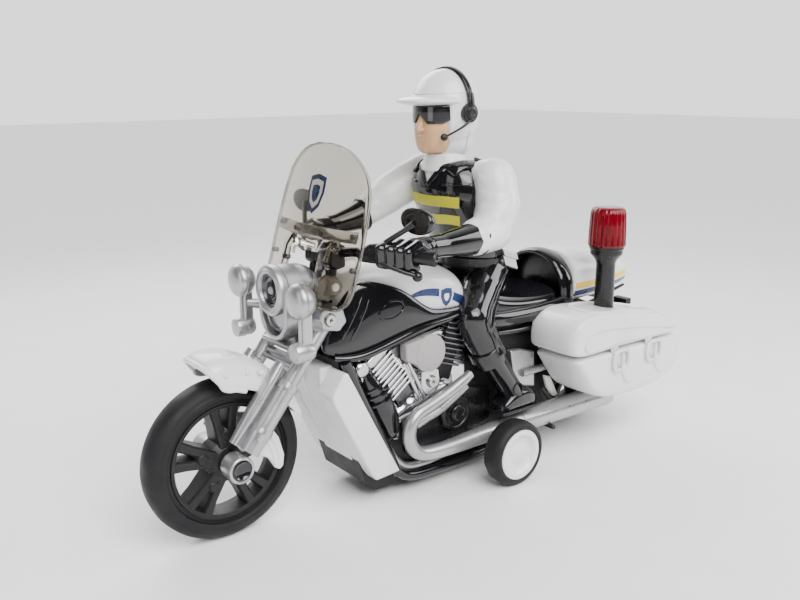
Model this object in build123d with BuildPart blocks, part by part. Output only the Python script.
from build123d import *
import math
import os

# Toy police motorcycle with a seated rider, driven through two outrigger wheels.
# Frame: +X forward, +Y the bike's left, +Z up, millimetres. The origin lies on the
# ground, at the centre of the toy's footprint.

# ---- driving dimensions -------------------------------------------------
WHEEL_R = 36.0                       # both road wheels
FRONT_X = 113.0                      # front axle
REAR_X = -106.5                      # rear axle
TYRE_HALF = 7.5                      # half width of the front tyre
RIM_R = 28.0                         # where tyre and rim meet
AXLE_R = 1.5
PILOT_R = 1.2                        # core of the self-tapping screws
RUNNING = 0.07                       # radial clearance of a running fit
DRIVE = (-20.8, 16.4)                # drive axle (x, z); its height is the outriggers' radius
OUT_FACE = 50.5                      # outer face of the outriggers
OUT_WIDTH = 11.4
HUB_R = 12.8
CORE_HALF = 17.0                     # half width of the chassis
WALL = 1.8
BODY_HALF = 22.0                     # half width over the fairing, seat and tail
FORK_Y = 15.5                        # fork legs, from the centre plane
FORK_FOOT = (113.0, 36.0)            # fork line (x, z): at the axle
FORK_HEAD = (64.5, 97.0)             # and at the upper yoke
LAMP = (87.8, 106.0)                 # headlamp lens centre (x, z)
BAR = (55.0, 120.0)                  # handlebar's middle (x, z)
BAG_IN, BAG_OUT = 22.8, 52.0         # saddlebag's inner and outer faces
GAP = 0.3                            # air between pieces that move past each other

# Gear train: 10:24, 10:24 and 10:24 teeth from the motor down to the drive axle.
MODULE = 0.7
WHEEL_TEETH = 24
PINION_TEETH = 10
GEAR_WIDTH = 3.0
WHEEL_TIP = 8.9
PINION_TIP = 4.15
PIN_R = 1.0
LAYERS = (3.0, 6.4, 9.8)             # where each gear pair begins, in Y
CENTRES = MODULE * (WHEEL_TEETH + PINION_TEETH) / 2
CLIMB = math.radians(60)
SECOND = (DRIVE[0] + CENTRES * math.cos(CLIMB), DRIVE[1] + CENTRES * math.sin(CLIMB))
FIRST = (SECOND[0] + CENTRES, SECOND[1])
MOTOR = (FIRST[0] + CENTRES, FIRST[1])

LEFT, RIGHT = 1, -1
SIDES = (("left", LEFT), ("right", RIGHT))

os.makedirs("parts", exist_ok=True)


# ---- small tools --------------------------------------------------------
def finish(piece, name):
    """Labels a finished builder's part and writes its STEP file."""
    piece.part.label = name
    export_step(piece.part, f"parts/{name}.step")


def side_on(y):
    """Plane facing the bike's right (-Y): local x is +X and local y is +Z."""
    return Plane(origin=(0, y, 0), x_dir=(1, 0, 0), z_dir=(0, -1, 0))


def front_on(x):
    """Plane facing forward (+X): local x is +Y and local y is +Z."""
    return Plane(origin=(x, 0, 0), x_dir=(0, 1, 0), z_dir=(1, 0, 0))


def outline(plane, points):
    with BuildSketch(plane) as face:
        with BuildLine():
            Polyline(*points, close=True)
        make_face()
    return face.sketch


def profile(points, y_low, y_high, mode=Mode.ADD):
    """Slab with a side-view outline (x, z), between two values of y."""
    extrude(outline(side_on(y_high), points), amount=y_high - y_low, mode=mode)


def hollow(points, y_low, y_high, wall, shift=0.0):
    """Cuts the outline, drawn in by the wall and moved up by shift, out of the part."""
    face = outline(side_on(y_high), points)
    inner = offset(face, amount=-wall, kind=Kind.INTERSECTION, mode=Mode.PRIVATE)
    inner = inner.moved(Location((0, 0, shift)))
    extrude(inner, amount=y_high - y_low, mode=Mode.SUBTRACT)


def rod(start, end, radius, mode=Mode.ADD):
    """Round bar between two points."""
    run = Vector(*end) - Vector(*start)
    with BuildSketch(Plane(origin=start, z_dir=run)) as section:
        Circle(radius)
    extrude(section.sketch, amount=run.length, mode=mode)


def across(at, radius, y_low, y_high, mode=Mode.ADD):
    """Round bar along Y through the side-view point at."""
    rod((at[0], y_low, at[1]), (at[0], y_high, at[1]), radius, mode)


def turned(plane, points, axis, mode=Mode.ADD):
    """Solid of revolution from half an outline drawn on plane."""
    revolve(outline(plane, points), axis=axis, mode=mode)


def turned_across(at, points, mode=Mode.ADD):
    """Solid turned about the Y axis through at; points are (radius, y)."""
    plane = Plane(origin=(at[0], 0, at[1]), x_dir=(1, 0, 0), z_dir=(0, 0, 1))
    turned(plane, points, Axis((at[0], 0, at[1]), (0, 1, 0)), mode)


def turned_ahead(y, z, points, mode=Mode.ADD):
    """Solid turned about the X axis through (y, z); points are (x, radius)."""
    plane = Plane(origin=(0, y, z), x_dir=(1, 0, 0), z_dir=(0, -1, 0))
    turned(plane, points, Axis((0, y, z), (1, 0, 0)), mode)


def ball(centre, radius, mode=Mode.ADD):
    with Locations(centre):
        Sphere(radius, mode=mode)


def pipe(route, radii):
    """Round bars along a route, with a ball at each bend."""
    for (start, end), radius in zip(zip(route, route[1:]), radii):
        rod(start, end, radius)
    for point, radius in zip(route[1:-1], radii[1:]):
        ball(point, radius)


def along_fork(t, y=0.0):
    """Point on the fork's line: t = 0 at the axle, 1 at the upper yoke."""
    return (
        FORK_FOOT[0] + t * (FORK_HEAD[0] - FORK_FOOT[0]),
        y,
        FORK_FOOT[1] + t * (FORK_HEAD[1] - FORK_FOOT[1]),
    )


# ---- road wheels --------------------------------------------------------
def tyre_outline(outer, inner, half, shoulder, y=0.0):
    """Rounded tyre section as (radius, y), for a wheel centred on y."""
    crown = [
        (outer - shoulder * (1 - math.cos(a)), y + half * math.sin(a))
        for a in [math.radians(step) for step in range(-75, 76, 15)]
    ]
    return [(inner, y - half * 0.9)] + crown + [(inner, y + half * 0.9)]


for name, at, half in (
    ("front_tyre", (FRONT_X, WHEEL_R), TYRE_HALF),
    ("rear_tyre", (REAR_X, WHEEL_R), TYRE_HALF + 1.0),
):
    with BuildPart() as tyre:
        turned_across(at, tyre_outline(WHEEL_R, RIM_R, half, 4.5))
    finish(tyre, name)

SPOKES = 5
RING_IN = 24.2
RIM_HALF = 5.6
WHEEL_HUB_R = 6.4
WHEEL_HUB_HALF = 8.6
for name, at in (("front_rim", (FRONT_X, WHEEL_R)), ("rear_rim", (REAR_X, WHEEL_R))):
    with BuildPart() as rim:
        turned_across(
            at,
            [(RING_IN, -RIM_HALF), (RIM_R, -RIM_HALF), (RIM_R, RIM_HALF), (RING_IN, RIM_HALF)],
        )
        across(at, WHEEL_HUB_R, -WHEEL_HUB_HALF, WHEEL_HUB_HALF)
        for spoke in range(SPOKES):
            for fork in (-11, 11):
                turn = 360 / SPOKES * spoke + 18 + fork
                with BuildSketch(side_on(3.2)) as arm:
                    with Locations(Location((at[0], at[1], 0), turn)):
                        with Locations((15.0, 0)):
                            Rectangle(20.0, 3.4)
                extrude(arm.sketch, amount=6.4)
        across(at, AXLE_R + RUNNING, -12, 12, Mode.SUBTRACT)
    finish(rim, name)

with BuildPart() as wheel_axles:
    across((FRONT_X, WHEEL_R), AXLE_R, -16.5, 16.5)
    across((REAR_X, WHEEL_R), AXLE_R, -16.5, 16.5)
finish(wheel_axles, "wheel_axles")


# ---- outriggers ---------------------------------------------------------
for side_name, side in SIDES:
    near, far = side * (OUT_FACE - OUT_WIDTH), side * OUT_FACE
    with BuildPart() as hub:
        turned_across(
            DRIVE,
            [
                (0, near), (HUB_R, near), (HUB_R, far), (HUB_R - 3.4, far),
                (HUB_R - 4.4, far - side * 2.2), (0, far - side * 2.2),
            ],
        )
        across(DRIVE, AXLE_R, -46, 46, Mode.SUBTRACT)
    finish(hub, f"outrigger_hub_{side_name}")
    with BuildPart() as out_tyre:
        turned_across(
            DRIVE,
            tyre_outline(DRIVE[1], HUB_R, OUT_WIDTH / 2, 2.0, side * (OUT_FACE - OUT_WIDTH / 2)),
        )
    finish(out_tyre, f"outrigger_tyre_{side_name}")


# ---- gear train ---------------------------------------------------------
def gear(teeth, tip, phase, at, y_low, width=GEAR_WIDTH):
    """Spur gear with involute flanks; one tooth is centred on the angle phase."""
    pitch = MODULE * teeth / 2
    base = pitch * math.cos(math.radians(20))
    root = pitch - 1.3 * MODULE
    half_tooth = 0.43 * math.pi / teeth

    def involute(radius):
        return math.sqrt((radius / base) ** 2 - 1) - math.acos(base / radius)

    low = max(root, base)
    flank = [low + (tip - low) * step / 4 for step in range(5)]
    angles = [half_tooth + involute(pitch) - involute(radius) for radius in flank]
    if root < base:
        flank = [root] + flank
        angles = [angles[0]] + angles
    points = []
    for tooth in range(teeth):
        middle = phase + 2 * math.pi * tooth / teeth
        rising = [(radius, middle - angle) for radius, angle in zip(flank, angles)]
        falling = [(radius, middle + angle) for radius, angle in zip(flank, angles)]
        for radius, angle in rising + falling[::-1]:
            points.append((at[0] + radius * math.cos(angle), at[1] + radius * math.sin(angle)))
    profile(points, y_low, y_low + width)


def meshing_phase(phase, teeth, direction, other_teeth):
    """Phase of the gear met in the given direction, so that its gap takes this one's tooth."""
    here = (phase - direction) * teeth / (2 * math.pi)
    return direction + math.pi + (0.5 + here) * 2 * math.pi / other_teeth


DRIVE_PHASE = CLIMB
SECOND_SMALL = meshing_phase(DRIVE_PHASE, WHEEL_TEETH, CLIMB, PINION_TEETH)
SECOND_BIG = 0.0
FIRST_SMALL = meshing_phase(SECOND_BIG, WHEEL_TEETH, 0.0, PINION_TEETH)
FIRST_BIG = 0.0
MOTOR_PHASE = meshing_phase(FIRST_BIG, WHEEL_TEETH, 0.0, PINION_TEETH)

with BuildPart() as drive_axle:
    gear(WHEEL_TEETH, WHEEL_TIP, DRIVE_PHASE, DRIVE, LAYERS[0])
    across(DRIVE, AXLE_R, -46, 46)
finish(drive_axle, "drive_axle")

for name, at, small_phase, big_phase, layer in (
    ("second_gear", SECOND, SECOND_SMALL, SECOND_BIG, 0),
    ("first_gear", FIRST, FIRST_SMALL, FIRST_BIG, 1),
):
    with BuildPart() as compound:
        gear(PINION_TEETH, PINION_TIP, small_phase, at, LAYERS[layer], 3.4)
        gear(WHEEL_TEETH, WHEEL_TIP, big_phase, at, LAYERS[layer + 1])
        across(at, PIN_R + RUNNING, 0, 20, Mode.SUBTRACT)
    finish(compound, name)

MOTOR_R = 7.6
SHAFT_R = 1.0
with BuildPart() as motor_pinion:
    gear(PINION_TEETH, PINION_TIP, MOTOR_PHASE, MOTOR, LAYERS[2])
    across(MOTOR, SHAFT_R, -12.0, LAYERS[2] + GEAR_WIDTH)
finish(motor_pinion, "motor_pinion")

with BuildPart() as motor:
    across(MOTOR, MOTOR_R, -14.0, 8.4)
    for above in (-1, 1):
        with Locations((MOTOR[0], 0, MOTOR[1] + above * (MOTOR_R + 0.5))):
            Box(30, 40, 4, mode=Mode.SUBTRACT)
    across(MOTOR, SHAFT_R + RUNNING, -13.0, 20, Mode.SUBTRACT)
finish(motor, "motor")

GEAR_PLATES = ((0.6, 1.8), (13.2, 1.6))
with BuildPart() as gearbox:
    for y_low, thickness in GEAR_PLATES:
        for start, end in ((DRIVE, SECOND), (SECOND, FIRST)):
            turn = math.degrees(math.atan2(end[1] - start[1], end[0] - start[0]))
            with BuildSketch(side_on(y_low + thickness)) as plate:
                middle = ((start[0] + end[0]) / 2, (start[1] + end[1]) / 2, 0)
                with Locations(Location(middle, turn)):
                    SlotCenterToCenter(math.dist(start, end), 8)
            extrude(plate.sketch, amount=thickness)
    for at in (SECOND, FIRST):
        across(at, PIN_R, GEAR_PLATES[0][0], sum(GEAR_PLATES[1]))
    across(MOTOR, MOTOR_R + GAP, -20, 20, Mode.SUBTRACT)
    across(DRIVE, AXLE_R + RUNNING, -20, 20, Mode.SUBTRACT)
finish(gearbox, "gearbox")

# ---- chassis ------------------------------------------------------------
CORE = [
    (-60, 13), (-52, 5), (43, 5), (49, 10), (61, 48), (63, 73),
    (-10, 76), (-66, 68), (-66, 44),
]
CAVITY = [
    (-56, 15), (-50, 6.8), (42, 6.8), (46.5, 12), (57, 48), (57, 63),
    (-62, 63), (-62, 46),
]
CELL_R = 7.1
DOOR = (22.0, 42.0)                  # battery door, in x
REAR_ARM = [(-65, 44), (-62, 30), (-106, 30.5), (-111.5, 36), (-106, 41.5), (-74, 46)]


def chassis_half(side):
    """One moulded half: outer wall, rear arm and half of the floor."""
    inner, outer = sorted((0.0, side * CORE_HALF))
    cut_low, cut_high = sorted((0.0, side * (CORE_HALF - WALL)))
    arm_low, arm_high = sorted((side * (CORE_HALF - 4), side * CORE_HALF))
    profile(CORE, inner, outer)
    profile(CAVITY, cut_low, cut_high, Mode.SUBTRACT)
    profile(REAR_ARM, arm_low, arm_high)
    across(DRIVE, AXLE_R + RUNNING, -20, 20, Mode.SUBTRACT)
    across((REAR_X, WHEEL_R), AXLE_R, -20, 20, Mode.SUBTRACT)
    profile([(DOOR[0], 0), (DOOR[1], 0), (DOOR[1], 7), (DOOR[0], 7)], -14, 14, Mode.SUBTRACT)
    profile([(-39, 4), (-31.4, 4), (-31.4, 7), (-39, 7)], -2.4, 2.4, Mode.SUBTRACT)


for side_name, side in SIDES:
    with BuildPart() as chassis:
        chassis_half(side)
    finish(chassis, f"chassis_{side_name}")

with BuildPart() as battery_door:
    with Locations(((DOOR[0] + DOOR[1]) / 2, 0, 5.9)):
        Box(DOOR[1] - DOOR[0] - 0.4, 27.6, 1.8)
finish(battery_door, "battery_door")

with BuildPart() as batteries:
    for y in (-7.5, 7.5):
        rod((34.0, y, 9.4), (34.0, y, 58.6), CELL_R)
        rod((34.0, y, 58.6), (34.0, y, 59.8), 2.8)
finish(batteries, "batteries")

with BuildPart() as speaker:
    rod((-45.0, 0, 9.4), (-45.0, 0, 13.0), 3.9)
    rod((-45.0, 0, 13.0), (-45.0, 0, 16.0), 3.0)
finish(speaker, "speaker")

with BuildPart() as circuit_board:
    with Locations((-24, 0, 58)):
        Box(44, 26, 1.6)
    with Locations((-34, 4, 60), (-18, -5, 60)):
        Box(8, 7, 2.4)
finish(circuit_board, "circuit_board")

with BuildPart() as power_switch:
    with Locations((-36.9, 0, 5.3)):
        Box(3.8, 4.4, 3.6)
    with Locations((-36.9, 0, 7.6)):
        Box(7.0, 6.6, 1.0)
finish(power_switch, "power_switch")


# ---- body mouldings -----------------------------------------------------
TANK = [
    (52, 108), (45, 112.5), (37, 114.5), (26, 113), (10, 110.5), (-3, 108), (-10.5, 103),
    (-12.5, 94), (-12.5, 77), (52, 77), (57, 92),
]
FAIRING = [
    (67, 76.5), (60.5, 96), (51, 109), (41, 106), (32.5, 103), (24, 98), (14, 89), (-9, 89),
    (-5, 84.5), (16, 82.5), (35, 79), (54, 75),
]
SEAT = [(-13, 99), (-20, 94), (-34, 88), (-52, 84.5), (-77, 84.5), (-77, 70.5), (-66, 69.2), (-13, 77)]
TAIL = [
    (-88.3, 103.5), (-112, 101.5), (-135, 96.5), (-145, 90), (-149, 82), (-146, 79),
    (-118, 77), (-88.3, 74),
]
TANK_HALF = 19.2


def upper_edges(part, half, lowest):
    """The long edges on both flanks above the given height."""
    return [
        edge
        for edge in part.edges()
        if abs(abs(edge.center().Y) - half) < 0.01 and edge.center().Z > lowest
    ]


def core_block(mode=Mode.SUBTRACT):
    """The chassis's outer form, filled, for pieces that fit round it."""
    profile(CORE, -CORE_HALF, CORE_HALF, mode)


with BuildPart() as tank_cover:
    profile(TANK, -TANK_HALF, TANK_HALF)
    chamfer(upper_edges(tank_cover, TANK_HALF, 95), 7)
    hollow(TANK, -11.5, 11.5, 2.2)
finish(tank_cover, "tank_cover")

fairings = {}
for side_name, side in SIDES:
    inner, outer = sorted((side * TANK_HALF, side * BODY_HALF))
    with BuildPart() as fairing:
        profile(FAIRING, inner, outer)
    finish(fairing, f"fairing_{side_name}")
    fairings[side_name] = fairing.part

with BuildPart() as seat:
    profile(SEAT, -20.5, 20.5)
    chamfer(upper_edges(seat, 20.5, 80), 3)
finish(seat, "seat")


def arch(x, half, top, bottom):
    """Upright arch facing forward: straight legs under a half round of the given half width."""
    with BuildSketch(front_on(x)) as face:
        with BuildLine():
            Line((-half, bottom), (half, bottom))
            Line((half, bottom), (half, top - half))
            ThreePointArc((half, top - half), (0, top), (-half, top - half))
            Line((-half, top - half), (-half, bottom))
        make_face()
    return face.sketch


FENDER_R = 43.6
with BuildPart() as rear_fender:
    across((REAR_X, WHEEL_R), FENDER_R, -13.6, 13.6)
    across((REAR_X, WHEEL_R), FENDER_R - 1.8, -13.6, 13.6, Mode.SUBTRACT)
    with Locations((REAR_X, 0, 0)):
        Box(100, 40, 2 * 68, mode=Mode.SUBTRACT)
    with Locations((-72.2, 0, 67.6)):
        Box(12.4, 20, 2.0)
    for x in (-79.6, -135):
        with Locations((x, 18, 69.8), (x, -18, 69.8)):
            Box(4.6, 9.6, 3.2)
finish(rear_fender, "rear_fender")

with BuildPart() as seat_hoop:
    extrude(arch(-88, BODY_HALF, 104, 74), amount=10.6)
    extrude(arch(-84, BODY_HALF - 3, 101, 74), amount=10, mode=Mode.SUBTRACT)
    across((REAR_X, WHEEL_R), FENDER_R, -13.6, 13.6, Mode.SUBTRACT)
finish(seat_hoop, "seat_hoop")

with BuildPart() as tail_cover:
    profile(TAIL, -BODY_HALF, BODY_HALF)
    chamfer(upper_edges(tail_cover, BODY_HALF, 86), 9)
    across((REAR_X, WHEEL_R), FENDER_R, -13.6, 13.6, Mode.SUBTRACT)
finish(tail_cover, "tail_cover")

# ---- leg shields, radiator and engine -----------------------------------
SHIELD = [(36, 15.5), (50, 14.5), (62, 30), (76.5, 64), (76.5, 71.5), (62.5, 71.5), (58, 58)]
RADIATOR = [(50, 12), (55, 24), (69, 62), (69, 70), (63.6, 70), (61.6, 47)]
for side_name, side in SIDES:
    inner, outer = sorted((side * 13.0, side * 24.0))
    with BuildPart() as shield:
        profile(SHIELD, inner, outer)
        core_block()
    finish(shield, f"leg_shield_{side_name}")

with BuildPart() as radiator:
    profile(RADIATOR, -12.8, 12.8)
    core_block()
finish(radiator, "radiator")

CRANKCASE = [(50, 30), (42, 20), (4, 17), (-12, 27), (-12, 50), (4, 62), (18, 56), (38, 62), (50, 50)]
BARRELS = (((22, 40), (44, 69)), ((12, 44), (0, 74)))
ENGINE_OUT = 23.0                    # outer face of the cooling fins
ENGINE_BOSS = (15.0, 55.4)           # boss that takes the engine screw (x, z)
BOSS_OUT = 25.0
engines = []
for side_name, side in SIDES:
    inner, outer = sorted((side * CORE_HALF, side * 20.0))
    fin_in, fin_out = sorted((side * CORE_HALF, side * ENGINE_OUT))
    with BuildPart() as engine:
        profile(CRANKCASE, inner, outer)
        for foot, head in BARRELS:
            turn = math.degrees(math.atan2(head[1] - foot[1], head[0] - foot[0]))
            for fin in range(7):
                t = 0.42 + 0.085 * fin
                at = (foot[0] + t * (head[0] - foot[0]), foot[1] + t * (head[1] - foot[1]), 0)
                with BuildSketch(side_on(fin_out)) as disc:
                    with Locations(Location(at, turn)):
                        Rectangle(1.4, 18)
                extrude(disc.sketch, amount=fin_out - fin_in)
            with BuildSketch(side_on(outer + (1.6 if side > 0 else 0))) as barrel:
                middle = ((foot[0] + head[0]) / 2, (foot[1] + head[1]) / 2, 0)
                with Locations(Location(middle, turn)):
                    Rectangle(math.dist(foot, head), 15)
            extrude(barrel.sketch, amount=4.6)
        across(ENGINE_BOSS, 4.4, *sorted((side * CORE_HALF, side * BOSS_OUT)))
        across(ENGINE_BOSS, PILOT_R, *sorted((side * CORE_HALF, side * BOSS_OUT)), Mode.SUBTRACT)
        profile(SHIELD, -24, 24, Mode.SUBTRACT)
    finish(engine, f"engine_{side_name}")
    engines.append(engine.part)

# ---- exhausts -----------------------------------------------------------
EXHAUST_Y = 28.5
EXHAUST = [
    (-4, 56), (11, 45.4), (28, 43.5), (33, 34.0), (27, 24.0), (12, 21.8),
    (-32, 23.0), (-40, 22.6), (-112, 21.0),
]
EXHAUST_R = [2.9, 3.0, 3.1, 3.2, 3.4, 3.8, 5.0, 6.2]
for side_name, side in SIDES:
    with BuildPart() as exhaust:
        pipe([(x, side * EXHAUST_Y, z) for x, z in EXHAUST], EXHAUST_R)
        rod((-100, side * EXHAUST_Y, 21.3), (-113, side * EXHAUST_Y, 21.0), 4.6, Mode.SUBTRACT)
        across((-58, 30), 2.4, *sorted((side * CORE_HALF, side * (EXHAUST_Y - 2))))
    finish(exhaust, f"exhaust_{side_name}")

# ---- saddlebags and beacon ----------------------------------------------
BAG = [
    (-56, 64), (-63, 51), (-70, 38), (-77, 32), (-98, 28.7), (-110, 29.5), (-143, 40),
    (-148.5, 45), (-147, 54), (-144, 60),
]
LID = [
    (-55.6, 64.4), (-53.6, 71), (-58, 77.5), (-70, 79.3), (-105, 74.5), (-136, 69.0),
    (-146, 64), (-144.4, 60.4),
]
for side_name, side in SIDES:
    inner, outer = sorted((side * BAG_IN, side * BAG_OUT))
    room_low, room_high = sorted((side * (BAG_IN + 2), side * (BAG_OUT - 2.8)))
    for points, base, bevel, opening in (
        (BAG, "saddlebag", 2.5, 3.0),
        (LID, "saddlebag_lid", 1.4, -2.6),
    ):
        with BuildPart() as bag:
            profile(points, inner, outer)
            chamfer(upper_edges(bag, BAG_OUT, 0), bevel)
            hollow(points, room_low, room_high, 2.0)
            hollow(points, room_low, room_high, 2.2, opening)
        finish(bag, f"{base}_{side_name}")

BEACON = (-95.0, 36.5)
with BuildPart() as beacon_post:
    rod((*BEACON, 70), (*BEACON, 102), 5.1)
    with BuildSketch(Plane.XY.offset(102)) as neck:
        with Locations(BEACON):
            Circle(5.1)
    with BuildSketch(Plane.XY.offset(105.5)) as collar:
        with Locations(BEACON):
            Circle(8.2)
    loft([neck.sketch, collar.sketch])
    rod((*BEACON, 105.5), (*BEACON, 109.5), 8.2)
    profile(LID, BAG_IN, BAG_OUT, Mode.SUBTRACT)
finish(beacon_post, "beacon_post")

with BuildPart() as beacon_lens:
    rod((*BEACON, 109.5), (*BEACON, 129.8), 9.75)
    chamfer(beacon_lens.faces().sort_by(Axis.Z)[-1].edges(), 1.5)
    rod((*BEACON, 109.5), (*BEACON, 127.5), 8.2, Mode.SUBTRACT)
    rod((*BEACON, 109.5), (*BEACON, 118), 2.5)
finish(beacon_lens, "beacon_lens")

# ---- headlamp, fork and front fender ------------------------------------
with BuildPart() as headlamp:
    turned_ahead(
        0, LAMP[1],
        [
            (66, 0), (66, 6), (70, 9.6), (76, 11), (87, 11), (87.8, 10.2), (86.5, 7),
            (83.5, 7), (83.5, 0),
        ],
    )
    horn_cover = outline(
        front_on(77.5),
        [(-12.2, 98.5), (-12.6, 96), (-11, 90), (-6.5, 85), (0, 83.4),
         (6.5, 85), (11, 90), (12.6, 96), (12.2, 98.5)],
    )
    extrude(horn_cover, amount=8)
finish(headlamp, "headlamp")

with BuildPart() as headlamp_lens:
    turned_ahead(0, LAMP[1], [(83.5, 0), (83.5, 7), (86.3, 7), (86.8, 4), (87.3, 3), (87.3, 0)])
finish(headlamp_lens, "headlamp_lens")

LUG = (69.2, 94.2)                   # screw lug of the upper yoke (x, z)
LUG_OUT = 20.8
with BuildPart() as fork:
    for side in (LEFT, RIGHT):
        y = side * FORK_Y
        rod(along_fork(0.0, y), along_fork(0.5, y), 4.6)
        rod(along_fork(0.5, y), along_fork(0.99, y), 3.6)
        across((FRONT_X, WHEEL_R), 6.0, *sorted((side * 9.4, side * 17.8)))
        across(LUG, 5.0, *sorted((side * FORK_Y, side * 20.8)))
        profile([(60.4, 92), (66, 92), (66, 109.5), (60.4, 109.5)], *sorted((side * 11.5, side * 13.1)))
        across((63.2, 105.8), 1.5, *sorted((side * 12, side * 15.4)))
    for t in (0.72, 0.94):
        x, _, z = along_fork(t)
        profile([(x - 6, z - 6), (x + 5, z - 2), (x + 6, z + 5), (x - 5, z + 2)], -FORK_Y, FORK_Y)
    profile([(56, 93), (51, 80), (63, 73), (73, 74), (78, 82), (69, 98), (60, 98)], -8, 8)
    across(LUG, 1.2, -21, 21, Mode.SUBTRACT)
    across((FRONT_X, WHEEL_R), AXLE_R, -16.5, 16.5, Mode.SUBTRACT)
    add(tank_cover.part, mode=Mode.SUBTRACT)
    add(headlamp.part, mode=Mode.SUBTRACT)
    core_block()
    profile(RADIATOR, -12.8, 12.8, Mode.SUBTRACT)
    profile(SHIELD, -24, 24, Mode.SUBTRACT)
finish(fork, "fork")

FENDER_TOP = [
    (127.5, 82.8), (121, 84.2), (113, 84), (105, 82.3), (96, 78), (86, 69), (79, 58.5), (75, 49.5),
]
SKIRT = [(78.5, 49), (84, 57), (92, 65), (100, 70), (108, 71), (118, 72.5), (124, 76.5)]
FENDER_SKIN = 1.9
NARROW_HALF, WIDE_HALF = 10.6, 13.5  # half widths behind and before WIDE_FROM
WIDE_FROM = 97.0
BRAKE_COVER = [(101, 51), (92, 44), (89, 36), (93, 29), (97, 31), (100, 38)]
with BuildPart() as front_fender:
    profile(FENDER_TOP + SKIRT, -NARROW_HALF, NARROW_HALF)
    ahead = FENDER_TOP[:4] + [(WIDE_FROM, 78.4), (WIDE_FROM, 70)] + SKIRT[4:]
    profile(ahead, -WIDE_HALF, WIDE_HALF)
    under = [(x + 0.6, z - FENDER_SKIN) for x, z in FENDER_TOP] + [(84, 40), (135, 60)]
    profile(under, -9.0, 9.0, Mode.SUBTRACT)
    inside_x = WIDE_FROM + FENDER_SKIN
    under_wide = [(x, z - FENDER_SKIN) for x, z in FENDER_TOP[:4]]
    under_wide += [(inside_x, 77), (inside_x, 60), (131, 60), (131, 80)]
    inside_y = WIDE_HALF - 1.6
    profile(under_wide, -inside_y, inside_y, Mode.SUBTRACT)
    with BuildSketch(Plane.XY.offset(40)) as plan:
        with BuildLine():
            Polyline((70, -14), (118, -14), (123, -11.5), (126.5, -7), (127.5, 0),
                     (126.5, 7), (123, 11.5), (118, 14), (70, 14), close=True)
        make_face()
    extrude(plan.sketch, amount=60, mode=Mode.INTERSECT)
    for side in (LEFT, RIGHT):
        profile(BRAKE_COVER, *sorted((side * 9.4, side * 12.4)))
    add(fork.part, mode=Mode.SUBTRACT)
finish(front_fender, "front_fender")

with BuildPart() as auxiliary_lamps:
    for side in (LEFT, RIGHT):
        y = side * 25.3
        turned_ahead(y, 106, [(81, 0), (81, 3), (84, 6.6), (88.5, 7.3), (89.5, 6.8), (90.2, 0)])
        turned_ahead(y, 84.4, [(81, 0), (81, 2.5), (83, 4.3), (89.5, 4.3), (90.6, 3.6), (90.8, 0)])
        rod((83.5, y, 106), (83.5, y, 84.4), 1.9)
        rod((83.5, y, 95), (71, side * 15.5, 88), 2.0)
    add(fork.part, mode=Mode.SUBTRACT)
finish(auxiliary_lamps, "auxiliary_lamps")

# ---- windshield, handlebar and mirrors ----------------------------------
SHEET = 1.6
SWEEP = 105.0                        # plan radius of the windshield
LEAN = 0.3                           # how far it leans back per unit of height
FOOT_X = 74.6                        # its middle at the lower edge
with BuildPart() as windshield:
    with BuildSketch(Plane.XY.offset(99.6)) as band:
        with Locations((FOOT_X - SWEEP, 0)):
            Circle(SWEEP)
            Circle(SWEEP - SHEET, mode=Mode.SUBTRACT)
        with Locations((FOOT_X - SWEEP - 14, 0)):
            Rectangle(2 * SWEEP, 3 * SWEEP, mode=Mode.SUBTRACT)
    extrude(band.sketch, amount=70, dir=(-LEAN, 0, 1))
    with BuildSketch(front_on(30)) as pane:
        with BuildLine():
            Polyline((26, 99.6), (31.5, 102.5), (33.7, 108), (33.8, 124), (33.2, 138), (30.8, 150))
            Spline((30.8, 150), (25.3, 158), (17.3, 163.8), (8.7, 166.6), (0, 167.3),
                   (-8.7, 166.6), (-17.3, 163.8), (-25.3, 158), (-30.8, 150))
            Polyline((-30.8, 150), (-33.2, 138), (-33.8, 124), (-33.7, 108), (-31.5, 102.5),
                     (-26, 99.6))
            Polyline((-26, 99.6), (-12.2, 99.6), (-12.2, 122), (12.2, 122), (12.2, 99.6), (26, 99.6))
        make_face()
    extrude(pane.sketch, amount=60, mode=Mode.INTERSECT)
    for side in (LEFT, RIGHT):
        y_low, y_high = sorted((side * 13.2, side * 14.8))
        profile([(60.6, 102), (72.2, 102), (69.2, 112), (60.6, 112)], y_low, y_high)
    across((63.2, 105.8), 1.55, -16, 16, Mode.SUBTRACT)
    add(auxiliary_lamps.part, mode=Mode.SUBTRACT)
    add(fork.part, mode=Mode.SUBTRACT)
finish(windshield, "windshield")

BAR_R = 2.3
with BuildPart() as handlebar:
    pipe(
        [(33.8, 49.6, 120.8), (52, 24, 122), (BAR[0], 10, BAR[1]), (BAR[0], -10, BAR[1]),
         (52, -24, 122), (33.8, -49.6, 120.8)],
        [BAR_R] * 5,
    )
    with Locations((57.5, 0, 118)):
        Box(8, 22, 9)
    for side in (LEFT, RIGHT):
        rod((61.5, side * 7, 97), (57, side * 7, 118), 2.4)
        rod((47, side * 31, 121.6), (41, side * 45, 114), 1.1)
        ball((40.8, side * 45.4, 113.6), 1.9)
    add(fork.part, mode=Mode.SUBTRACT)
    add(headlamp.part, mode=Mode.SUBTRACT)
    add(tank_cover.part, mode=Mode.SUBTRACT)
finish(handlebar, "handlebar")

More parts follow.
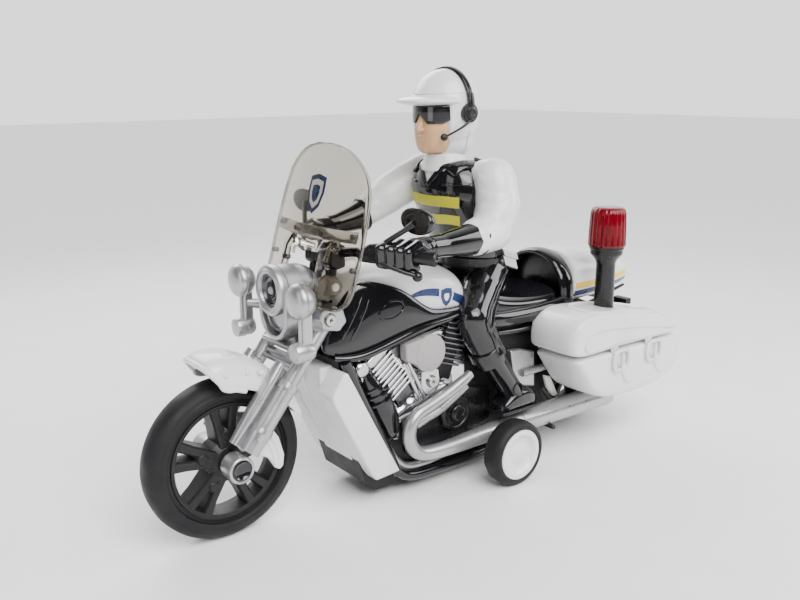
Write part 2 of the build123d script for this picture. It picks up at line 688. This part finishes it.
with BuildPart() as mirrors:
    for side in (LEFT, RIGHT):
        rod((50, side * 27, 121.5), (42, side * 40.5, 134), 1.2)
        with BuildSketch(Plane(origin=(40.2, side * 43, 137), x_dir=(0, 1, 0), z_dir=(1, 0, 0.2))) as glass:
            Ellipse(9.5, 5.6)
        extrude(glass.sketch, amount=3.4)
    add(handlebar.part, mode=Mode.SUBTRACT)
finish(mirrors, "mirrors")

# ---- rider --------------------------------------------------------------
TORSO = (
    # height, middle (x), half depth, half width
    (100, -31, 15.5, 17),
    (114, -28.5, 14, 18),
    (130, -22, 16.5, 21),
    (144, -19, 17.5, 23.5),
    (151, -18, 14.5, 20),
    (158, -15.5, 9, 12),
)
NECK = (-11.5, 0.0)                  # the head turns on this line (x, y)
with BuildPart() as rider_torso:
    stations = []
    for height, middle, depth, width in TORSO:
        with BuildSketch(Plane.XY.offset(height)) as station:
            with Locations((middle, 0)):
                Ellipse(depth, width)
        stations.append(station.sketch)
    loft(stations)
    rod((*NECK, 149.7), (*NECK, 165), 6.5 + GAP, Mode.SUBTRACT)
finish(rider_torso, "rider_torso")

with BuildPart() as rider_legs:
    profile([(-45, 80), (-46, 100), (-16, 100), (-14, 80)], -17, 17)
    for side in (LEFT, RIGHT):
        rod((-30, side * 12, 94), (-8, side * 25, 81), 9.2)
        ball((-8, side * 25, 81), 9.2)
        rod((-9, side * 25, 81), (-34, side * 28, 43), 7.4)
        ball((-34, side * 28, 43), 7.4)
        profile(
            [(-46.5, 31), (-43, 42), (-34, 44), (-25, 42), (-24, 34), (-25.5, 31)],
            *sorted((side * 22, side * 35)),
        )
    for piece in (tank_cover, seat, rider_torso):
        add(piece.part, mode=Mode.SUBTRACT)
    for fitted in list(fairings.values()) + engines:
        add(fitted, mode=Mode.SUBTRACT)
    profile([(-60, 0), (60, 0), (60, 80), (-60, 80)], -20.6, 20.6, Mode.SUBTRACT)
finish(rider_legs, "rider_legs")

ARMS = {
    # shoulder, elbow, cuff, wrist
    "left": ((-24, 25, 148), (-16.5, 31, 125), (-3, 34, 123.5), (22, 36.8, 123)),
    "right": ((-20, -24, 148), (-3, -31, 138), (11, -36, 127.5), (28, -37.5, 124)),
}
ARM_R = (10.2, 9.2, 8.0)
sleeves = {}
for side_name, (shoulder, elbow, cuff, wrist) in ARMS.items():
    with BuildPart() as arm:
        ball(shoulder, ARM_R[0])
        rod(shoulder, elbow, ARM_R[1])
        ball(elbow, ARM_R[1])
        rod(elbow, cuff, ARM_R[2])
        add(rider_torso.part, mode=Mode.SUBTRACT)
        add(rider_legs.part, mode=Mode.SUBTRACT)
    finish(arm, f"rider_arm_{side_name}")
    sleeves[side_name] = arm.part

with BuildPart() as rider_gloves:
    for side_name, side in SIDES:
        shoulder, elbow, cuff, wrist = ARMS[side_name]
        rod(cuff, wrist, 6.4)
        ball(wrist, 6.4)
        with Locations(Location((38, side * 38.2, 122), (0, 0, side * 12))):
            Box(26, 14, 12)
    for sleeve in sleeves.values():
        add(sleeve, mode=Mode.SUBTRACT)
    add(handlebar.part, mode=Mode.SUBTRACT)
    add(mirrors.part, mode=Mode.SUBTRACT)
    add(rider_torso.part, mode=Mode.SUBTRACT)
finish(rider_gloves, "rider_gloves")

FACE_X = NECK[0]                     # the head is turned round the neck's line
with BuildPart() as rider_head:
    with BuildSketch(side_on(0)) as half_head:
        with BuildLine():
            Polyline(
                (FACE_X, 150), (FACE_X + 6.5, 150), (FACE_X + 6.5, 158.5), (FACE_X + 9.5, 160.5),
                (FACE_X + 12, 166), (FACE_X + 13, 172), (FACE_X + 13, 181), (FACE_X, 181),
                close=True,
            )
        make_face()
    revolve(half_head.sketch, axis=Axis((FACE_X, 0, 0), (0, 0, 1)))
finish(rider_head, "rider_head")

HELMET_X = -14.0
HELMET = [
    (0, 199.2), (6, 198.3), (11, 195.3), (15, 190), (16.5, 183), (16.3, 175), (14.8, 167),
    (12.5, 162), (0, 162),
]
PEAK = [(-8, 178.6), (13, 181.5), (13, 183.4), (0, 186.5), (-8, 187.5)]
PEAK_HALF = 16.4
with BuildPart() as rider_helmet:
    turned_points = [(HELMET_X + radius, height) for radius, height in HELMET]
    revolve(outline(side_on(0), turned_points), axis=Axis((HELMET_X, 0, 0), (0, 0, 1)))
    profile([(-7, 150), (-5, 178.4), (20, 178.4), (20, 150)], -20, 20, Mode.SUBTRACT)
    side_view = outline(side_on(PEAK_HALF), PEAK)
    peak = extrude(side_view, amount=2 * PEAK_HALF, mode=Mode.PRIVATE)
    with BuildSketch(Plane.XY.offset(170), mode=Mode.PRIVATE) as brim:
        with Locations((-9, 0)):
            Ellipse(22, PEAK_HALF)
    add(peak & extrude(brim.sketch, amount=30, mode=Mode.PRIVATE))
    add(rider_head.part, mode=Mode.SUBTRACT)
finish(rider_helmet, "rider_helmet")

with BuildPart() as rider_glasses:
    with BuildSketch(Plane.XY.offset(172.4)) as lens:
        with Locations((FACE_X, 0)):
            Circle(14.3)
            Circle(13.0, mode=Mode.SUBTRACT)
        with Locations((FACE_X - 12, 0)):
            Rectangle(33, 40, mode=Mode.SUBTRACT)
    extrude(lens.sketch, amount=5.8)
    add(rider_helmet.part, mode=Mode.SUBTRACT)
finish(rider_glasses, "rider_glasses")

BAND_R = 18.4
EAR = (-14.0, 174.0)
with BuildPart() as rider_headset:
    rod((-15.6, 0, 182), (-12.4, 0, 182), BAND_R)
    with Locations((-14, 0, 162)):
        Box(10, 60, 28, mode=Mode.SUBTRACT)
    across(EAR, 4.6, -19.0, 19.0)
    add(rider_helmet.part, mode=Mode.SUBTRACT)
    add(rider_head.part, mode=Mode.SUBTRACT)
    rod((-14, 18.2, 171), (-2, 14.6, 166), 0.7)
    rod((-2, 14.6, 166), (3, 11.5, 163.4), 0.7)
    ball((3, 11.5, 163.4), 1.7)
finish(rider_headset, "rider_headset")

# ---- screws -------------------------------------------------------------
SCREW_HEAD_R = 2.4
with BuildPart() as screws:
    for at, head_y in ((LUG, LUG_OUT), (ENGINE_BOSS, BOSS_OUT)):
        for side in (LEFT, RIGHT):
            across(at, SCREW_HEAD_R, *sorted((side * head_y, side * (head_y + 1.0))))
            across(at, PILOT_R, *sorted((side * (head_y - 7), side * head_y)))
            across(at, 1.0, *sorted((side * (head_y + 0.4), side * (head_y + 1))), Mode.SUBTRACT)
finish(screws, "screws")
